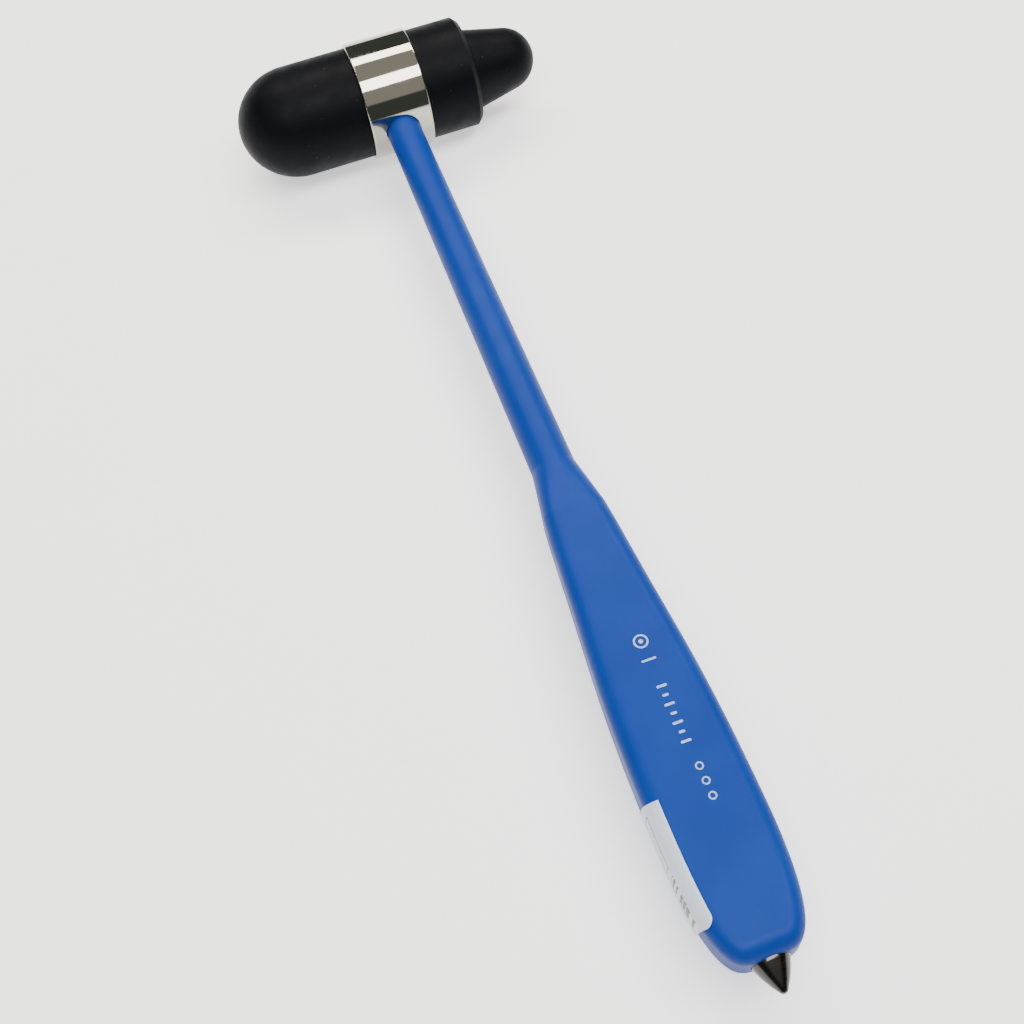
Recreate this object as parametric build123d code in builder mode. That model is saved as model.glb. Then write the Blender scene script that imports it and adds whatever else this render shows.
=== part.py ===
"""Reflex hammer with a two-ended rubber head, a moulded handle and a screw-in needle tip.

The hammer lies on its back. The head's axis runs along X, with the small end towards +X.
The shaft's axis runs along Y, with the head at +Y and the needle tip at -Y.
The broad faces of the grip look up and down. Lengths along the handle are stations:
distances from the crossing of the two axes, counted towards the tip.
"""

import os
from math import asin, atan2, cos, hypot, sin

from build123d import *

# Overall sizes, in millimetres
TOTAL_LENGTH = 245.5
HEAD_HALF_LENGTH = 38.4

# Collar and core
COLLAR_RADIUS = 14.25
COLLAR_WALL = 1.0
COLLAR_HALF_WIDTH = 7.75
COLLAR_EDGE_RADIUS = 0.35
CORE_RADIUS = COLLAR_RADIUS - COLLAR_WALL
STUD_RADIUS = 4.5
STUD_RING_HEIGHT = 0.6
STUD_RING_COUNT = 3
STUD_RING_PITCH = 3.2
STUD_LENGTH = 11.5
STUD_CHAMFER = 0.6

# Rubber ends
RUBBER_RADIUS = 13.4
RUBBER_GAP = 0.05
BORE_CLEARANCE = 0.05
BORE_SPARE_DEPTH = 1.0
LARGE_DOME_LENGTH = 14.5
SMALL_SHOULDER = 21.1
SMALL_SHOULDER_CHAMFER = 1.1
SMALL_CONE_BASE_RADIUS = 9.95
SMALL_NOSE_RADIUS = 7.7
SMALL_ROOT_RADIUS = 1.0

# Shaft and its steel rod
SHAFT_HEAD_RADIUS = 4.2
SHAFT_NECK_RADIUS = 4.7
SHAFT_SEAT = 10.0
SEAT_CLEARANCE = 0.15
COLLAR_HOLE_CLEARANCE = 0.3
ROD_RADIUS = 2.5
ROD_CORE_DEPTH = 5.0
ROD_END = 150.0
ROD_GROOVE_DEPTH = 0.5
ROD_GROOVE_WIDTH = 2.0
ROD_GROOVE_PITCH = 5.0
ROD_GROOVE_COUNT = 3

# Set screw that locks the rod in the core
LOCK_SCREW_RADIUS = 2.0
LOCK_SCREW_LENGTH = 8.0
LOCK_SCREW_KEY = 2.0
LOCK_SCREW_KEY_DEPTH = 2.0
LOCK_SCREW_GAP = 0.03

# Grip: plan outline and thickness
NECK = 120.6
TRANSITION_LENGTH = 12.0
GRIP_END = 225.7
GRIP_FLANK = [(6.55, 132.6), (8.0, 150.6), (9.6, 170.6), (10.35, 190.6)]
GRIP_FLANK_SLOPE = 0.11
GRIP_WIDEST = 200.0
GRIP_MAX_HALF_WIDTH = 10.4
GRIP_CORNER = [(9.75, 213.6), (8.5, 220.0), (6.6, 224.0)]
GRIP_END_FLAT = 3.0
GRIP_NECK_HALF_THICKNESS = 4.95
GRIP_END_HALF_THICKNESS = 5.8
GRIP_EDGE_RADIUS = 3.2

# Needle tip, its insert and its needle
TIP_RADIUS = 3.5
TIP_BAND = 0.7
TIP_BULGE = 0.2
TIP_SPOT_DEPTH = 0.6
TIP_SPOT_RADIUS = 3.6
TIP_POINT_RADIUS = 0.9
TIP_GAP = 0.03
THREAD_RADIUS = 2.5
THREAD_LENGTH = 7.0
THREAD_CLEARANCE = 0.06
THREAD_CHAMFER = 0.5
INSERT_RADIUS = 3.7
INSERT_KNURL_HEIGHT = 0.3
INSERT_KNURL_TEETH = 24
INSERT_LENGTH = 8.0
INSERT_DEPTH = 1.5
INSERT_WAIST_WIDTH = 1.6
NEEDLE_RADIUS = 0.6
NEEDLE_STICK_OUT = 22.0
NEEDLE_POINT_LENGTH = 3.0
NEEDLE_IN_TIP = 6.0
NEEDLE_CLEARANCE = 0.05
NEEDLE_BORE_RADIUS = 1.1
NEEDLE_BORE_SPARE = 2.0

# Paper label on the side of the grip
LABEL_THICKNESS = 0.12
LABEL_GLUE_GAP = 0.02
LABEL_START = 194.1
LABEL_END = 217.4
LABEL_SLANT = 0.16
LABEL_RIDGE_INSET = 0.015
LABEL_LOW_EDGE = -3.2
LABEL_CORNER_RADIUS = 2.0
LABEL_RIDGE_CORNER_HEIGHT = 0.95
LABEL_LIFTED_END = [(10.0, 213.6), (9.1, 220.0), (7.2, 224.0)]

# Places
TIP_END = TOTAL_LENGTH - COLLAR_RADIUS
HEAD_Y = (TIP_END - COLLAR_RADIUS) / 2
AXIS_Z = COLLAR_RADIUS

# The plan plane holds both axes. The cross plane cuts the handle at a station.
PLAN = Plane(origin=(0, HEAD_Y, AXIS_Z))
CROSS = Plane(origin=(0, HEAD_Y, AXIS_Z), x_dir=(1, 0, 0), z_dir=(0, -1, 0))
SIDE = Plane(origin=(0, HEAD_Y, AXIS_Z), x_dir=(0, -1, 0), z_dir=(-1, 0, 0))
HEAD_AXIS = Axis((0, HEAD_Y, AXIS_Z), (1, 0, 0))
SHAFT_AXIS = Axis((0, HEAD_Y, AXIS_Z), (0, -1, 0))

os.makedirs("parts", exist_ok=True)


def save(piece, name):
    """Labels a finished piece and writes its file."""
    piece.label = name
    export_step(piece, f"parts/{name}.step")


def cone_to_nose(base_radius, reach, nose_radius):
    """Where a straight cone meets its round nose: how far past the nose's centre, and the radius there."""
    slope = atan2(base_radius, reach) - asin(nose_radius / hypot(base_radius, reach))
    return nose_radius * sin(slope), nose_radius * cos(slope)


def half_thickness(station):
    """Half the grip's thickness at a station: it grows evenly from the neck to the end."""
    rise = (GRIP_END_HALF_THICKNESS - GRIP_NECK_HALF_THICKNESS) / (GRIP_END - NECK)
    return GRIP_NECK_HALF_THICKNESS + rise * (station - NECK)


def label_point(station, height):
    """A point of the label in the side plane. The label's ends slant a little."""
    return (station + LABEL_SLANT * height, height)


def grip_slab(skin=0.0, corner=GRIP_CORNER):
    """The flat part of the grip, from the end of the neck's transition to the end face."""
    start = NECK + TRANSITION_LENGTH
    wide = GRIP_MAX_HALF_WIDTH + skin
    start_thick = half_thickness(start) + skin
    end_thick = half_thickness(GRIP_END) + skin
    with BuildPart() as slab:
        with BuildSketch(PLAN):
            with BuildLine() as outline:
                flank = Spline(
                    *[(half + skin, -station) for half, station in GRIP_FLANK],
                    (wide, -GRIP_WIDEST),
                    tangents=[(GRIP_FLANK_SLOPE, -1), (0, -1)],
                )
                Spline(
                    (wide, -GRIP_WIDEST),
                    *[(half + skin, -station) for half, station in corner],
                    (GRIP_END_FLAT, -GRIP_END - skin),
                    tangents=[(0, -1), (-1, 0)],
                )
                Line((0, -GRIP_END - skin), (GRIP_END_FLAT, -GRIP_END - skin))
                Line((0, -start), flank @ 0)
                mirror(outline.line, about=Plane.YZ)
            make_face()
        extrude(amount=2 * end_thick, both=True)
        with BuildSketch(SIDE):
            with BuildLine():
                Polyline(
                    (start, -start_thick),
                    (start, start_thick),
                    (GRIP_END + skin, end_thick),
                    (GRIP_END + skin, -end_thick),
                    close=True,
                )
            make_face()
        extrude(amount=2 * wide, both=True, mode=Mode.INTERSECT)
        rims = slab.faces().sort_by(Axis.Z)[-1].edges() + slab.faces().sort_by(Axis.Z)[0].edges()
        rims = rims.filter_by(lambda edge: edge.center().Y < HEAD_Y - start - 1)
        fillet(rims, radius=GRIP_EDGE_RADIUS + skin)
    return slab.part


# Steel core: a drum with a ringed stud at each end, drilled for the rod and the set screw
with BuildPart() as head_core:
    ring_radius = STUD_RADIUS + STUD_RING_HEIGHT
    with BuildSketch(PLAN):
        with BuildLine():
            Polyline(
                (0, 0),
                (COLLAR_HALF_WIDTH + STUD_LENGTH, 0),
                (COLLAR_HALF_WIDTH + STUD_LENGTH, STUD_RADIUS - STUD_CHAMFER),
                (COLLAR_HALF_WIDTH + STUD_LENGTH - STUD_CHAMFER, STUD_RADIUS),
                (COLLAR_HALF_WIDTH, STUD_RADIUS),
                (COLLAR_HALF_WIDTH, CORE_RADIUS),
                (0, CORE_RADIUS),
                close=True,
            )
        make_face()
        for ring in range(STUD_RING_COUNT):
            crest = COLLAR_HALF_WIDTH + (ring + 1) * STUD_RING_PITCH
            with BuildLine():
                Polyline(
                    (crest - STUD_RING_HEIGHT, STUD_RADIUS - STUD_CHAMFER),
                    (crest - STUD_RING_HEIGHT, ring_radius),
                    (crest, ring_radius),
                    (crest + 2 * STUD_RING_HEIGHT, STUD_RADIUS - STUD_CHAMFER),
                    close=True,
                )
            make_face()
    revolve(axis=HEAD_AXIS)
    mirror(about=Plane.YZ)
    with BuildSketch(CROSS.offset(-ROD_CORE_DEPTH)):
        Circle(ROD_RADIUS)
    extrude(amount=ROD_CORE_DEPTH + COLLAR_RADIUS, mode=Mode.SUBTRACT)
    with BuildSketch(CROSS.offset(SHAFT_SEAT)):
        Circle(SHAFT_HEAD_RADIUS + SEAT_CLEARANCE)
    extrude(amount=COLLAR_RADIUS, mode=Mode.SUBTRACT)
    with BuildSketch(Plane(origin=(0, HEAD_Y, AXIS_Z), z_dir=(1, 0, 0))):
        Circle(LOCK_SCREW_RADIUS)
    extrude(amount=COLLAR_HALF_WIDTH + STUD_LENGTH, mode=Mode.SUBTRACT)
save(head_core.part, "head_core")

# Polished collar: a sleeve round the drum with one hole for the shaft
with BuildPart() as head_collar:
    with BuildSketch(Plane(origin=(-COLLAR_HALF_WIDTH, HEAD_Y, AXIS_Z), z_dir=(1, 0, 0))):
        Circle(COLLAR_RADIUS)
        Circle(CORE_RADIUS, mode=Mode.SUBTRACT)
    extrude(amount=2 * COLLAR_HALF_WIDTH)
    outer_rims = head_collar.edges().filter_by(GeomType.CIRCLE)
    fillet(
        outer_rims.filter_by(lambda edge: edge.radius > CORE_RADIUS + COLLAR_WALL / 2),
        radius=COLLAR_EDGE_RADIUS,
    )
    with BuildSketch(CROSS):
        Circle(SHAFT_HEAD_RADIUS + COLLAR_HOLE_CLEARANCE)
    extrude(amount=2 * COLLAR_RADIUS, mode=Mode.SUBTRACT)
save(head_collar.part, "head_collar")

# Rubber ends: each is pushed on to its stud and hides it in a blind bore
bore_radius = STUD_RADIUS + STUD_RING_HEIGHT + BORE_CLEARANCE
bore_depth = COLLAR_HALF_WIDTH + STUD_LENGTH + BORE_SPARE_DEPTH
rubber_face = COLLAR_HALF_WIDTH + RUBBER_GAP

with BuildPart() as large_rubber_head:
    dome_start = HEAD_HALF_LENGTH - LARGE_DOME_LENGTH
    with BuildSketch(PLAN):
        with BuildLine():
            Polyline(
                (-HEAD_HALF_LENGTH, 0),
                (-bore_depth, 0),
                (-bore_depth, bore_radius),
                (-rubber_face, bore_radius),
                (-rubber_face, RUBBER_RADIUS),
                (-dome_start, RUBBER_RADIUS),
            )
            EllipticalCenterArc(
                (-dome_start, 0), LARGE_DOME_LENGTH, RUBBER_RADIUS, start_angle=90, arc_size=90
            )
        make_face()
    revolve(axis=HEAD_AXIS)
save(large_rubber_head.part, "large_rubber_head")

with BuildPart() as small_rubber_head:
    nose_centre = HEAD_HALF_LENGTH - SMALL_NOSE_RADIUS
    nose_reach = nose_centre - SMALL_SHOULDER
    nose_forward, nose_start_radius = cone_to_nose(SMALL_CONE_BASE_RADIUS, nose_reach, SMALL_NOSE_RADIUS)
    nose_start = (nose_centre + nose_forward, nose_start_radius)
    with BuildSketch(PLAN):
        with BuildLine():
            Polyline(
                (HEAD_HALF_LENGTH, 0),
                (bore_depth, 0),
                (bore_depth, bore_radius),
                (rubber_face, bore_radius),
                (rubber_face, RUBBER_RADIUS),
                (SMALL_SHOULDER - SMALL_SHOULDER_CHAMFER, RUBBER_RADIUS),
                (SMALL_SHOULDER, RUBBER_RADIUS - SMALL_SHOULDER_CHAMFER),
                (SMALL_SHOULDER, SMALL_CONE_BASE_RADIUS),
                nose_start,
            )
            RadiusArc(nose_start, (HEAD_HALF_LENGTH, 0), SMALL_NOSE_RADIUS)
        make_face()
    revolve(axis=HEAD_AXIS)
    cone_root = small_rubber_head.edges().filter_by(GeomType.CIRCLE)
    fillet(
        cone_root.filter_by(lambda edge: abs(edge.radius - SMALL_CONE_BASE_RADIUS) < 0.01),
        radius=SMALL_ROOT_RADIUS,
    )
save(small_rubber_head.part, "small_rubber_head")

# Steel rod: screwed into the core and moulded into the handle, with grooves that anchor it
with BuildPart() as shaft_rod:
    with BuildSketch(CROSS.offset(-ROD_CORE_DEPTH)):
        Circle(ROD_RADIUS)
    extrude(amount=ROD_CORE_DEPTH + ROD_END)
    for groove in range(ROD_GROOVE_COUNT):
        station = ROD_END - (groove + 1) * ROD_GROOVE_PITCH
        with BuildSketch(CROSS.offset(station)):
            Circle(ROD_RADIUS)
            Circle(ROD_RADIUS - ROD_GROOVE_DEPTH, mode=Mode.SUBTRACT)
        extrude(amount=ROD_GROOVE_WIDTH, mode=Mode.SUBTRACT)
save(shaft_rod.part, "shaft_rod")

# Set screw in the small end's stud, which bears on the rod
with BuildPart() as lock_screw:
    screw_start = ROD_RADIUS + LOCK_SCREW_GAP
    with BuildSketch(Plane(origin=(screw_start, HEAD_Y, AXIS_Z), z_dir=(1, 0, 0))):
        Circle(LOCK_SCREW_RADIUS)
    extrude(amount=LOCK_SCREW_LENGTH)
    with BuildSketch(Plane(origin=(screw_start + LOCK_SCREW_LENGTH, HEAD_Y, AXIS_Z), z_dir=(1, 0, 0))):
        RegularPolygon(LOCK_SCREW_KEY / 2, 6, major_radius=False)
    extrude(amount=-LOCK_SCREW_KEY_DEPTH, mode=Mode.SUBTRACT)
save(lock_screw.part, "lock_screw")

# Brass insert: a knurled bush with a waist, moulded into the end of the grip
insert_face = GRIP_END - INSERT_DEPTH
with BuildPart() as thread_insert:
    with BuildSketch(CROSS.offset(insert_face - INSERT_LENGTH)):
        Circle(INSERT_RADIUS)
        with PolarLocations(INSERT_RADIUS, INSERT_KNURL_TEETH):
            RegularPolygon(INSERT_KNURL_HEIGHT, 4)
    extrude(amount=INSERT_LENGTH)
    with BuildSketch(CROSS.offset(insert_face - INSERT_LENGTH / 2)):
        Circle(INSERT_RADIUS + 2 * INSERT_KNURL_HEIGHT)
        Circle(INSERT_RADIUS - INSERT_KNURL_HEIGHT, mode=Mode.SUBTRACT)
    extrude(amount=INSERT_WAIST_WIDTH / 2, both=True, mode=Mode.SUBTRACT)
    with BuildSketch(CROSS.offset(insert_face)):
        Circle(THREAD_RADIUS + THREAD_CLEARANCE)
    extrude(amount=-INSERT_LENGTH, mode=Mode.SUBTRACT)
save(thread_insert.part, "thread_insert")

# Handle: one moulding from the collar to the needle tip
slab = grip_slab()
with BuildPart() as handle:
    add(slab)
    slab_start = handle.faces().sort_by(Axis.Y)[-1]
    with BuildSketch(CROSS.offset(NECK)) as neck:
        Circle(SHAFT_NECK_RADIUS)
    loft([slab_start, neck.sketch.faces()[0]])
    with BuildSketch(PLAN):
        with BuildLine():
            Polyline(
                (0, -SHAFT_SEAT),
                (SHAFT_HEAD_RADIUS, -SHAFT_SEAT),
                (SHAFT_NECK_RADIUS, -NECK),
                (0, -NECK),
                close=True,
            )
        make_face()
    revolve(axis=SHAFT_AXIS)
    add(shaft_rod.part, mode=Mode.SUBTRACT)
    add(thread_insert.part, mode=Mode.SUBTRACT)
    with BuildSketch(CROSS.offset(GRIP_END)):
        Circle(THREAD_RADIUS + THREAD_CLEARANCE)
    extrude(amount=-INSERT_DEPTH - INSERT_LENGTH, mode=Mode.SUBTRACT)
    with BuildSketch(CROSS.offset(GRIP_END)):
        Circle(TIP_SPOT_RADIUS)
    extrude(amount=-TIP_SPOT_DEPTH, mode=Mode.SUBTRACT)
    with BuildSketch(CROSS.offset(GRIP_END)):
        Circle(NEEDLE_BORE_RADIUS)
    needle_bore_depth = TIP_SPOT_DEPTH + THREAD_LENGTH + NEEDLE_STICK_OUT + NEEDLE_BORE_SPARE
    extrude(amount=-needle_bore_depth, mode=Mode.SUBTRACT)
save(handle.part, "handle")

# Needle tip: a blunt cone with a short band and a threaded shank, drilled for the needle
tip_base = GRIP_END - TIP_SPOT_DEPTH + TIP_GAP
shank_end = tip_base - THREAD_LENGTH
band_end = tip_base + TIP_BAND
point_centre = TIP_END - TIP_POINT_RADIUS
point_forward, point_start_radius = cone_to_nose(TIP_RADIUS, point_centre - band_end, TIP_POINT_RADIUS)
point_start = (point_start_radius, -point_centre - point_forward)
with BuildPart() as needle_tip:
    with BuildSketch(PLAN):
        with BuildLine():
            Polyline(
                (0, -TIP_END),
                (0, -shank_end),
                (THREAD_RADIUS - THREAD_CHAMFER, -shank_end),
                (THREAD_RADIUS, -shank_end - THREAD_CHAMFER),
                (THREAD_RADIUS, -tip_base),
                (TIP_RADIUS, -tip_base),
                (TIP_RADIUS, -band_end),
            )
            SagittaArc((TIP_RADIUS, -band_end), point_start, -TIP_BULGE)
            RadiusArc(point_start, (0, -TIP_END), TIP_POINT_RADIUS)
        make_face()
    revolve(axis=SHAFT_AXIS)
    with BuildSketch(CROSS.offset(shank_end)):
        Circle(NEEDLE_RADIUS + NEEDLE_CLEARANCE)
    extrude(amount=NEEDLE_IN_TIP + NEEDLE_CLEARANCE, mode=Mode.SUBTRACT)
save(needle_tip.part, "needle_tip")

# Needle: a thin steel pin with a drawn-out point, stored inside the handle
needle_point = shank_end - NEEDLE_STICK_OUT
with BuildPart() as needle:
    with BuildSketch(PLAN):
        with BuildLine():
            Polyline(
                (0, -needle_point),
                (NEEDLE_RADIUS, -needle_point - NEEDLE_POINT_LENGTH),
                (NEEDLE_RADIUS, -shank_end - NEEDLE_IN_TIP),
                (0, -shank_end - NEEDLE_IN_TIP),
                close=True,
            )
        make_face()
    revolve(axis=SHAFT_AXIS)
save(needle.part, "needle")

# Paper label: a thin sheet on the side of the grip, folded over the front edge, with its lower end lifting
label_outside = grip_slab(LABEL_GLUE_GAP + LABEL_THICKNESS, LABEL_LIFTED_END)
label_inside = grip_slab(LABEL_GLUE_GAP, LABEL_LIFTED_END)
with BuildPart() as label:
    add(label_outside)
    add(label_inside, mode=Mode.SUBTRACT)
    corner_station = LABEL_END - LABEL_CORNER_RADIUS
    ridge_at_start = half_thickness(LABEL_START) - LABEL_RIDGE_INSET
    ridge_at_corner = half_thickness(corner_station) - LABEL_RIDGE_INSET
    ridge_corner_end = ridge_at_corner - LABEL_RIDGE_CORNER_HEIGHT
    low_corner_end = LABEL_LOW_EDGE + LABEL_CORNER_RADIUS
    with BuildSketch(SIDE):
        with BuildLine():
            Polyline(
                label_point(corner_station, LABEL_LOW_EDGE),
                label_point(LABEL_START, LABEL_LOW_EDGE),
                label_point(LABEL_START, ridge_at_start),
                label_point(corner_station, ridge_at_corner),
            )
            Spline(
                label_point(corner_station, ridge_at_corner),
                label_point(LABEL_END, ridge_corner_end),
                tangents=[(1, 0), (-LABEL_SLANT, -1)],
            )
            Line(label_point(LABEL_END, ridge_corner_end), label_point(LABEL_END, low_corner_end))
            Spline(
                label_point(LABEL_END, low_corner_end),
                label_point(corner_station, LABEL_LOW_EDGE),
                tangents=[(-LABEL_SLANT, -1), (-1, 0)],
            )
        make_face()
    extrude(amount=2 * GRIP_MAX_HALF_WIDTH, mode=Mode.INTERSECT)
save(label.part, "label")
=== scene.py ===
"""Looks of the reflex hammer: materials, the threaded needle tip and the printed marks on the grip."""

import math

import bpy
from mathutils import Euler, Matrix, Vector
from mathutils.bvhtree import BVHTree


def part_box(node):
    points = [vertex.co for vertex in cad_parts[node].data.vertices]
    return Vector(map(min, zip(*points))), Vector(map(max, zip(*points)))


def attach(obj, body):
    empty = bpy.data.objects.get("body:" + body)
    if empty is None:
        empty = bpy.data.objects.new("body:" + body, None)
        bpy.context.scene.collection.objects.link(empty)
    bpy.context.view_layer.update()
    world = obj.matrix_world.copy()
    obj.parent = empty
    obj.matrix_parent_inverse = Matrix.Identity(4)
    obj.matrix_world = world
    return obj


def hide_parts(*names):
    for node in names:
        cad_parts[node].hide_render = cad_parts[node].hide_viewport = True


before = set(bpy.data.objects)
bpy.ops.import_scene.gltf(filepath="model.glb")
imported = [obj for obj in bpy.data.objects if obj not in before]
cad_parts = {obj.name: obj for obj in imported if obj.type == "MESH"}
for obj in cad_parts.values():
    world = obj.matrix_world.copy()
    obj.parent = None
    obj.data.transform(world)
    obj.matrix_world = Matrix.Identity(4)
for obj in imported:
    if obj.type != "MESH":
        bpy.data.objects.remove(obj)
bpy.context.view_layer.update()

MM = 0.001
AXIS_Z = sum(corner.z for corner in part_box("head_collar")) / 2
HEAD_Y = sum(corner.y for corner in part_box("head_collar")) / 2

# Camera at the photo's angle
CAMERA_PLACE = (-0.0420, -0.1568, 0.2489)
CAMERA_TURN_DEG = (30.857, 4.107, -19.313)
CAMERA_LENS_MM = 47.47

# Studio: a dome that is dim near the horizon, two long soft boxes over the head, and a glowing floor
DOME_LOW = (0.090, 0.108, 0.098, 1)
DOME_HIGH = (0.54, 0.52, 0.48, 1)
DOME_EDGE = 0.655
DOME_EDGE_BLUR = 0.02
DOME_LEAN = 0.18
BOX_DISTANCE = 0.8
BOX_LENGTH = 1.0
BOX_SIDE_SHIFT = 0.1
FLOOR_GLOW = 0.9
FLOOR_HALF = 3.0

# Stretches of a noise that turn it into tool rings round an axis
X_RINGS = (9, 0.3, 0.3)
Y_RINGS = (0.3, 9, 0.3)

# Needle tip: a slightly bulging cone on a shank with a real thread form
TIP_SEAT_DEPTH = 0.57 * MM
TIP_BAND = 0.7 * MM
TIP_EDGE = 0.12 * MM
TIP_BULGE = 0.2 * MM
TIP_BULGE_LEAN = 0.4
TIP_BULGE_STEPS = 16
TIP_NOSE_RADIUS = 0.9 * MM
TIP_NOSE_START = math.radians(30)
TIP_NOSE_STEPS = 8
TIP_SHARP_ANGLE = math.radians(40)
THREAD_RADIUS = 2.5 * MM
THREAD_PITCH = 0.8 * MM
THREAD_DEPTH = 0.45 * MM
THREAD_ROWS_PER_TURN = 10
THREAD_RUN_OUT_ROWS = 8
THREAD_CREST_SHARE = 0.12
THREAD_FLANK_SHARE = 0.72
THREAD_RUN_OUT_SHARE = 0.6
SHANK_CHAMFER = 0.5 * MM
SHANK_LEAD_IN = 0.2 * MM
SHANK_NECK_RADIUS = THREAD_RADIUS - 0.35 * MM
SHANK_NECK_LENGTH = 0.3 * MM
SHANK_NECK_TAPER = 0.2 * MM
NEEDLE_HOLE_RADIUS = 0.65 * MM
NEEDLE_HOLE_DEPTH = 6.05 * MM
LATHE_SIDES = 64

# Printing on the label: first and last station, then lowest and highest height from the axis, in mm
LABEL_FRAME = ((196.4, 206.2), (-0.6, 3.3))
LABEL_FRAME_HOLE = ((196.65, 205.95), (-0.3, 3.05))
LABEL_RULE = ((198.2, 204.4), (1.9, 2.4))
LABEL_BARS = ((207.6, 216.4), (-0.4, 3.6))

# Printed marks on the grip: thin plates that stand just clear of its front face
PRINT_LIFT = 0.006 * MM
PRINT_THICKNESS = 0.012 * MM
PRINT_STEPS = 40
PRINT_RAY_HEIGHT = 0.1

# Where the marks are, in mm: X is across the grip, and stations are measured from the head's axis
TARGET_X = 0.95
TARGET_STATION = 165.6
TARGET_RULE_STATION = 169.6
BARS_X = 1.1
BARS_STATION = 175.3
BAR_STEP = 1.9
LONG_BAR = 2.0
SHORT_BAR = 1.2
BAR_COUNT = 7
RINGS_X = 1.45
RINGS_STATION = 191.8
RING_STEP = 2.9
RING_COUNT = 3


def at_station(station_mm):
    """The Y of a station given in millimetres from the head's axis."""
    return HEAD_Y - station_mm * MM


# ---------------------------------------------------------------- shader helpers

def add(tree, kind, settings=None, **values):
    """Adds a node, with attributes in settings and socket values by name."""
    node = tree.nodes.new(kind)
    for key, value in (settings or {}).items():
        setattr(node, key, value)
    for key, value in values.items():
        node.inputs[key.replace("_", " ")].default_value = value
    return node


def spot_coords(tree, stretch=(1, 1, 1)):
    """The piece's own coordinates, stretched."""
    place = add(tree, "ShaderNodeTexCoord")
    mapping = add(tree, "ShaderNodeMapping", Scale=stretch)
    tree.links.new(place.outputs["Object"], mapping.inputs["Vector"])
    return mapping.outputs["Vector"]


def noise(tree, scale, detail=3.0, stretch=(1, 1, 1)):
    grain = add(tree, "ShaderNodeTexNoise", Scale=scale, Detail=detail)
    tree.links.new(spot_coords(tree, stretch), grain.inputs["Vector"])
    return grain.outputs["Fac"]


def spread(tree, source, low, high, source_low=0.3, source_high=0.7):
    """Maps a noise on to a range of values."""
    node = add(tree, "ShaderNodeMapRange")
    for socket, value in zip(range(1, 5), (source_low, source_high, low, high)):
        node.inputs[socket].default_value = value
    tree.links.new(source, node.inputs["Value"])
    return node.outputs["Result"]


def blend_colours(tree, factor, first, second):
    """first where the factor is 0 and second where it is 1. Either can be a colour or an output."""
    node = add(tree, "ShaderNodeMix", {"data_type": "RGBA"})
    tree.links.new(factor, node.inputs[0])
    for socket, colour in ((node.inputs[6], first), (node.inputs[7], second)):
        if isinstance(colour, tuple):
            socket.default_value = colour
        else:
            tree.links.new(colour, socket)
    return node.outputs[2]


def combine(tree, operation, first, second):
    node = add(tree, "ShaderNodeMath", {"operation": operation})
    for socket, value in zip(node.inputs, (first, second)):
        if isinstance(value, float):
            socket.default_value = value
        else:
            tree.links.new(value, socket)
    return node.outputs[0]


def bump(tree, shader, height, depth, strength=1.0):
    node = add(tree, "ShaderNodeBump", Strength=strength, Distance=depth)
    tree.links.new(height, node.inputs["Height"])
    tree.links.new(node.outputs["Normal"], shader.inputs["Normal"])


def new_material(name, **values):
    """A material whose main shader has these socket values."""
    material = bpy.data.materials.new(name)
    material.use_nodes = True
    shader = material.node_tree.nodes["Principled BSDF"]
    for key, value in values.items():
        shader.inputs[key.replace("_", " ")].default_value = value
    return material, material.node_tree, shader


# ---------------------------------------------------------------- materials

def blue_plastic():
    material, tree, shader = new_material("blue_plastic", Specular_IOR_Level=0.09)
    shade = spread(tree, noise(tree, 90, 4), 0.0, 1.0)
    colour = blend_colours(tree, shade, (0.0036, 0.0295, 0.207, 1), (0.0046, 0.0345, 0.232, 1))
    tree.links.new(colour, shader.inputs["Base Color"])
    tree.links.new(spread(tree, noise(tree, 160, 5), 0.38, 0.47), shader.inputs["Roughness"])
    bump(tree, shader, noise(tree, 5200, 2), 0.012 * MM, 0.6)
    return material


def black_rubber():
    material, tree, shader = new_material(
        "black_rubber", Specular_IOR_Level=0.07, Sheen_Weight=0.008, Sheen_Tint=(0.5, 0.7, 1, 1)
    )
    specks = spread(tree, noise(tree, 1500, 1), 0.0, 1.0, 0.77, 0.80)
    cloud = noise(tree, 120, 4)
    body = blend_colours(tree, cloud, (0.0007, 0.0008, 0.0018, 1), (0.0019, 0.0021, 0.0038, 1))
    colour = blend_colours(tree, specks, body, (0.030, 0.031, 0.034, 1))
    tree.links.new(colour, shader.inputs["Base Color"])
    tree.links.new(spread(tree, noise(tree, 220, 5), 0.46, 0.60), shader.inputs["Roughness"])
    bump(tree, shader, noise(tree, 2600, 4), 0.02 * MM, 0.5)
    return material


def polished_nickel():
    material, tree, shader = new_material("polished_nickel", Metallic=1.0)
    tint = blend_colours(tree, noise(tree, 60, 3), (0.41, 0.39, 0.335, 1), (0.36, 0.34, 0.29, 1))
    tree.links.new(tint, shader.inputs["Base Color"])
    smudges = spread(tree, noise(tree, 130, 6), 0.035, 0.10, 0.4, 0.75)
    tree.links.new(smudges, shader.inputs["Roughness"])
    bump(tree, shader, noise(tree, 900, 5, (6, 0.4, 0.4)), 0.0012 * MM, 0.5)
    return material


def turned_metal(name, stretch, roughness, dark, light):
    """Bare metal with fine tool rings."""
    material, tree, shader = new_material(name, Metallic=1.0)
    rings = noise(tree, 500, 4, stretch)
    tree.links.new(blend_colours(tree, rings, dark, light), shader.inputs["Base Color"])
    tree.links.new(spread(tree, rings, roughness, roughness + 0.14), shader.inputs["Roughness"])
    bump(tree, shader, rings, 0.006 * MM, 0.5)
    return material


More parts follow.
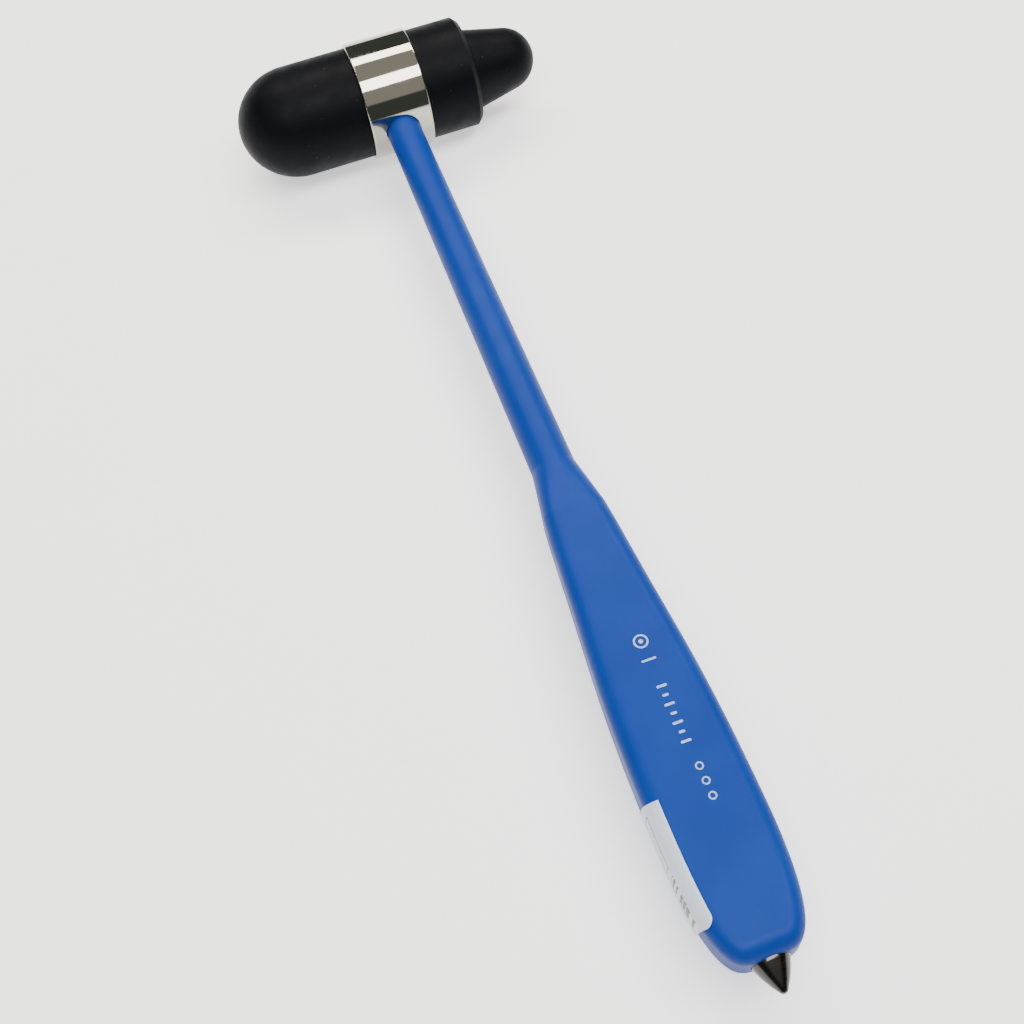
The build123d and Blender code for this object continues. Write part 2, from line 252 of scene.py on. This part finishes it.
def within(tree, value, low_mm, high_mm):
    """1 where the value lies between two places, else 0."""
    node = add(tree, "ShaderNodeMath", {"operation": "COMPARE"})
    node.inputs[1].default_value = (low_mm + high_mm) / 2 * MM
    node.inputs[2].default_value = (high_mm - low_mm) / 2 * MM
    tree.links.new(value, node.inputs[0])
    return node.outputs[0]


def patch(tree, station, height, area):
    """1 inside a rectangle on the label's side, else 0."""
    stations, heights = area
    return combine(tree, "MULTIPLY", within(tree, station, *stations), within(tree, height, *heights))


def label_print(tree, station, height):
    """1 where the label is inked: an empty frame, a rule inside it, and a row of uneven bars."""
    frame_outside = patch(tree, station, height, LABEL_FRAME)
    frame_inside = patch(tree, station, height, LABEL_FRAME_HOLE)
    outline = combine(tree, "SUBTRACT", frame_outside, frame_inside)
    rule = patch(tree, station, height, LABEL_RULE)
    stripes = add(tree, "ShaderNodeTexNoise", {"noise_dimensions": "1D"}, Scale=900, Detail=0)
    tree.links.new(station, stripes.inputs["W"])
    bars = combine(tree, "GREATER_THAN", stripes.outputs["Fac"], 0.5)
    bars = combine(tree, "MULTIPLY", bars, patch(tree, station, height, LABEL_BARS))
    return combine(tree, "MAXIMUM", combine(tree, "MAXIMUM", outline, rule), bars)


def printed_paper(label):
    """Bluish white paper with generic printing along the side of the grip."""
    material, tree, shader = new_material("printed_paper", IOR=1.45, Coat_Weight=0.15, Coat_Roughness=0.3)
    place = add(tree, "ShaderNodeTexCoord")
    parts = add(tree, "ShaderNodeSeparateXYZ")
    tree.links.new(place.outputs["Object"], parts.inputs[0])
    origin = label.matrix_world.translation
    station = combine(tree, "SUBTRACT", HEAD_Y - origin.y, parts.outputs["Y"])
    height = combine(tree, "ADD", origin.z - AXIS_Z, parts.outputs["Z"])
    paper = blend_colours(tree, noise(tree, 700, 5), (0.50, 0.55, 0.63, 1), (0.56, 0.61, 0.69, 1))
    ink = label_print(tree, station, height)
    tree.links.new(blend_colours(tree, ink, paper, (0.035, 0.037, 0.045, 1)), shader.inputs["Base Color"])
    tree.links.new(spread(tree, noise(tree, 900, 4), 0.36, 0.5), shader.inputs["Roughness"])
    bump(tree, shader, noise(tree, 3500, 4), 0.01 * MM, 0.5)
    return material


def print_ink():
    material, tree, shader = new_material("print_ink", IOR=1.45)
    wear = spread(tree, noise(tree, 2600, 4), 0.0, 1.0, 0.35, 0.6)
    tint = blend_colours(tree, wear, (0.22, 0.30, 0.50, 1), (0.38, 0.46, 0.68, 1))
    tree.links.new(tint, shader.inputs["Base Color"])
    tree.links.new(spread(tree, noise(tree, 1500, 3), 0.45, 0.6), shader.inputs["Roughness"])
    return material


def paint(node, material):
    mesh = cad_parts[node].data
    mesh.materials.clear()
    mesh.materials.append(material)


# ---------------------------------------------------------------- meshes

def new_piece(name, vertices, faces, material, smooth=True):
    mesh = bpy.data.meshes.new(name)
    mesh.from_pydata(vertices, [], faces)
    mesh.validate()
    mesh.materials.append(material)
    if smooth:
        mesh.shade_smooth()
    piece = bpy.data.objects.new(name, mesh)
    bpy.context.scene.collection.objects.link(piece)
    return piece


def arc_rows(start, end, bulge, steps):
    """(y, radius) pairs on a shallow arc between two pairs, standing out by bulge in the middle."""
    rows = []
    for step in range(1, steps + 1):
        share = step / steps
        rise = 4 * bulge * share * (1 - share)
        along = start[0] + (end[0] - start[0]) * share
        out = start[1] + (end[1] - start[1]) * share
        rows.append((along - rise * TIP_BULGE_LEAN, out + rise))
    return rows


def nose_rows(point_y):
    """(y, radius) pairs on the round nose, from where it meets the cone to the point."""
    centre_y = point_y + TIP_NOSE_RADIUS
    rows = []
    for step in range(TIP_NOSE_STEPS):
        turn = TIP_NOSE_START + (math.pi / 2 - TIP_NOSE_START) * step / TIP_NOSE_STEPS
        rows.append((centre_y - TIP_NOSE_RADIUS * math.sin(turn), TIP_NOSE_RADIUS * math.cos(turn)))
    return rows + [(point_y, 0.0)]


def thread_rows(low, high):
    """Rows of a right-hand thread. Each is (y, function of the angle that gives the radius)."""
    rows = []
    count = round((high - low) / THREAD_PITCH * THREAD_ROWS_PER_TURN)
    for step in range(count + 1):
        y = low + (high - low) * step / count
        fade = min(1.0, step / THREAD_RUN_OUT_ROWS, (count - step) / THREAD_RUN_OUT_ROWS)

        def radius(angle, y=y, fade=fade):
            phase = ((y - low) / THREAD_PITCH + angle / math.tau) % 1.0
            slope = abs(2 * phase - 1)
            groove = min(max((slope - THREAD_CREST_SHARE) / THREAD_FLANK_SHARE, 0), 1)
            cut = groove * fade + THREAD_RUN_OUT_SHARE * (1 - fade)
            return THREAD_RADIUS - THREAD_DEPTH * cut

        rows.append((y, radius))
    return rows


def tip_rows():
    """The tip's profile: down the needle's hole, along the shank, over the base and to the point."""
    low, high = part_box("needle_tip")
    point_y, shank_y = low.y, high.y
    base_radius = (high.x - low.x) / 2
    base_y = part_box("handle")[0].y + TIP_SEAT_DEPTH
    band_y = base_y - TIP_BAND
    hole_y = shank_y - NEEDLE_HOLE_DEPTH
    rows = [(hole_y, 0.0), (hole_y, NEEDLE_HOLE_RADIUS)]
    rows += [(shank_y, NEEDLE_HOLE_RADIUS), (shank_y, THREAD_RADIUS - SHANK_CHAMFER)]
    neck_y = base_y + SHANK_NECK_LENGTH
    rows += reversed(thread_rows(neck_y + SHANK_NECK_TAPER, shank_y - SHANK_LEAD_IN))
    rows += [(neck_y, SHANK_NECK_RADIUS), (base_y, SHANK_NECK_RADIUS)]
    rows += [(base_y, base_radius - TIP_EDGE), (base_y - TIP_EDGE, base_radius)]
    rows += [(band_y, base_radius)]
    nose = nose_rows(point_y)
    rows += arc_rows((band_y, base_radius), nose[0], TIP_BULGE, TIP_BULGE_STEPS)
    return rows + nose[1:]


def lathe(rows):
    """Turns the rows round the hammer's axis. A row's radius can be a function of the angle."""
    vertices, rings = [], []
    for y, radius in rows:
        first = len(vertices)
        if radius == 0.0:
            vertices.append((0, y, AXIS_Z))
        else:
            for side in range(LATHE_SIDES):
                angle = math.tau * side / LATHE_SIDES
                out = radius(angle) if callable(radius) else radius
                vertices.append((out * math.cos(angle), y, AXIS_Z + out * math.sin(angle)))
        rings.append(range(first, len(vertices)))
    faces = []
    for ring, following in zip(rings, rings[1:]):
        for side in range(LATHE_SIDES):
            after = (side + 1) % LATHE_SIDES
            if len(ring) == 1:
                faces.append((ring[0], following[side], following[after]))
            elif len(following) == 1:
                faces.append((ring[side], following[0], ring[after]))
            else:
                faces.append((ring[side], following[side], following[after], ring[after]))
    return vertices, faces


def make_tip(material):
    vertices, faces = lathe(tip_rows())
    tip = new_piece("threaded_tip", vertices, faces, material)
    tip.data.set_sharp_from_angle(angle=TIP_SHARP_ANGLE)
    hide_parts("needle_tip")
    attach(tip, "tip")


class Printer:
    """Lays thin closed shapes on the grip's front face."""

    def __init__(self, material):
        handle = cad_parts["handle"]
        depsgraph = bpy.context.evaluated_depsgraph_get()
        self.skin = BVHTree.FromObject(handle, depsgraph)
        self.into = handle.matrix_world.inverted()
        self.out = handle.matrix_world
        self.material = material

    def surface(self, x, y):
        """The height of the grip's front face."""
        start = self.into @ Vector((x, y, PRINT_RAY_HEIGHT))
        hit = self.skin.ray_cast(start, self.into.to_3x3() @ Vector((0, 0, -1)))[0]
        return (self.out @ hit).z

    def shape(self, name, outer, inner=None):
        """A plate between an outer loop and, if given, an inner loop of as many points."""
        count = len(outer)
        loops = [outer] if inner is None else [outer, inner]
        vertices = []
        for lift in (PRINT_LIFT, PRINT_LIFT + PRINT_THICKNESS):
            for loop in loops:
                vertices += [(x, y, self.surface(x, y) + lift) for x, y in loop]
        layer = count * len(loops)
        faces = []
        for step in range(count):
            after = (step + 1) % count
            faces.append((step, after, after + layer, step + layer))
            if inner is not None:
                low, low_after = count + step, count + after
                faces.append((low_after, low, low + layer, low_after + layer))
                faces.append((after, step, low, low_after))
                faces.append((step + layer, after + layer, low_after + layer, low + layer))
        if inner is None:
            faces.append(tuple(reversed(range(count))))
            faces.append(tuple(range(layer, layer + count)))
        piece = new_piece(name, vertices, faces, self.material, smooth=False)
        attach(piece, "hammer")

    def circle(self, x_mm, station_mm, radius_mm):
        radius = radius_mm * MM
        centre = Vector((x_mm * MM, at_station(station_mm)))
        loop = []
        for step in range(PRINT_STEPS):
            turn = math.tau * step / PRINT_STEPS
            loop.append((centre.x + radius * math.cos(turn), centre.y + radius * math.sin(turn)))
        return loop

    def dot(self, name, x_mm, station_mm, radius_mm):
        self.shape(name, self.circle(x_mm, station_mm, radius_mm))

    def ring(self, name, x_mm, station_mm, radius_mm, stroke_mm):
        outer = self.circle(x_mm, station_mm, radius_mm)
        inner = self.circle(x_mm, station_mm, radius_mm - stroke_mm)
        self.shape(name, outer, inner)

    def bar(self, name, x_mm, station_mm, length_mm, width_mm):
        """A bar across the grip with round ends."""
        half = width_mm / 2 * MM
        reach = (length_mm - width_mm) / 2 * MM
        centre = Vector((x_mm * MM, at_station(station_mm)))
        loop = []
        for step in range(PRINT_STEPS):
            turn = math.tau * (step + 0.5) / PRINT_STEPS
            side = reach if math.cos(turn) > 0 else -reach
            loop.append((centre.x + side + half * math.cos(turn), centre.y + half * math.sin(turn)))
        self.shape(name, loop)


def print_marks(material):
    """Generic marks: a target with a rule beside it, a row of bars and a row of small rings."""
    printer = Printer(material)
    printer.ring("mark_ring", TARGET_X, TARGET_STATION, radius_mm=1.45, stroke_mm=0.36)
    printer.dot("mark_centre", TARGET_X, TARGET_STATION, radius_mm=0.45)
    printer.bar("mark_rule", TARGET_X, TARGET_RULE_STATION, length_mm=2.9, width_mm=0.42)
    for index in range(BAR_COUNT):
        station = BARS_STATION + BAR_STEP * index
        length = SHORT_BAR if index % 2 else LONG_BAR
        printer.bar(f"mark_bar_{index}", BARS_X, station, length, width_mm=0.5)
    for index in range(RING_COUNT):
        station = RINGS_STATION + RING_STEP * index
        printer.ring(f"mark_dot_{index}", RINGS_X, station, radius_mm=0.78, stroke_mm=0.28)


# ---------------------------------------------------------------- stage

def make_camera():
    data = bpy.data.cameras.new("camera")
    data.lens = CAMERA_LENS_MM
    data.clip_start = 0.01
    camera = bpy.data.objects.new("camera", data)
    camera.location = CAMERA_PLACE
    camera.rotation_euler = Euler([math.radians(turn) for turn in CAMERA_TURN_DEG])
    bpy.context.scene.collection.objects.link(camera)
    bpy.context.scene.camera = camera


def soft_box(name, from_up_deg, width, power, colour):
    """A long light above the head, parallel to it. The angle is from straight up, towards the grip."""
    turn = math.radians(from_up_deg)
    head = Vector((0, HEAD_Y, AXIS_Z))
    place = head + BOX_DISTANCE * Vector((BOX_SIDE_SHIFT, -math.sin(turn), math.cos(turn)))
    data = bpy.data.lights.new(name, "AREA")
    data.shape = "RECTANGLE"
    data.size = BOX_LENGTH
    data.size_y = width
    data.energy = power
    data.color = colour
    lamp = bpy.data.objects.new(name, data)
    lamp.location = place
    lamp.rotation_euler = (head - place).to_track_quat("-Z", "Y").to_euler()
    bpy.context.scene.collection.objects.link(lamp)


def make_dome():
    world = bpy.data.worlds.new("studio")
    bpy.context.scene.world = world
    world.use_nodes = True
    tree = world.node_tree
    place = add(tree, "ShaderNodeTexCoord")
    parts = add(tree, "ShaderNodeSeparateXYZ")
    tree.links.new(place.outputs["Generated"], parts.inputs[0])
    lean = combine(tree, "MULTIPLY", parts.outputs["Y"], DOME_LEAN)
    height = combine(tree, "SUBTRACT", parts.outputs["Z"], lean)
    rise = spread(tree, height, 0.0, 1.0, DOME_EDGE - DOME_EDGE_BLUR, DOME_EDGE + DOME_EDGE_BLUR)
    colour = blend_colours(tree, rise, DOME_LOW, DOME_HIGH)
    tree.links.new(colour, tree.nodes["Background"].inputs["Color"])


def make_floor():
    half = FLOOR_HALF
    corners = [(-half, -half, 0), (half, -half, 0), (half, half, 0), (-half, half, 0)]
    material, tree, shader = new_material(
        "floor_paper", Roughness=0.9, Emission_Color=(1, 1, 1, 1), Emission_Strength=FLOOR_GLOW
    )
    tint = blend_colours(tree, noise(tree, 40, 4), (0.86, 0.86, 0.86, 1), (0.89, 0.89, 0.89, 1))
    tree.links.new(tint, shader.inputs["Base Color"])
    floor = new_piece("floor", corners, [(0, 1, 2, 3)], material, smooth=False)


make_camera()
make_dome()
make_floor()
soft_box("back_box", from_up_deg=-33, width=0.24, power=9.5, colour=(1.0, 0.95, 0.86))
soft_box("front_box", from_up_deg=22, width=0.28, power=10.5, colour=(1.0, 1.0, 1.0))

rubber = black_rubber()
core_metal = turned_metal("turned_steel", X_RINGS, 0.20, (0.42, 0.42, 0.43, 1), (0.60, 0.60, 0.61, 1))
rod_metal = turned_metal("drawn_steel", Y_RINGS, 0.22, (0.45, 0.45, 0.46, 1), (0.62, 0.62, 0.63, 1))
tip_metal = turned_metal("dark_nickel", Y_RINGS, 0.13, (0.045, 0.042, 0.038, 1), (0.080, 0.075, 0.068, 1))
brass = turned_metal("turned_brass", Y_RINGS, 0.22, (0.58, 0.40, 0.16, 1), (0.76, 0.56, 0.27, 1))

paint("handle", blue_plastic())
paint("head_collar", polished_nickel())
paint("large_rubber_head", rubber)
paint("small_rubber_head", rubber)
paint("head_core", core_metal)
paint("lock_screw", core_metal)
paint("shaft_rod", rod_metal)
paint("needle", rod_metal)
paint("thread_insert", brass)
paint("label", printed_paper(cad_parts["label"]))
make_tip(tip_metal)
print_marks(print_ink())
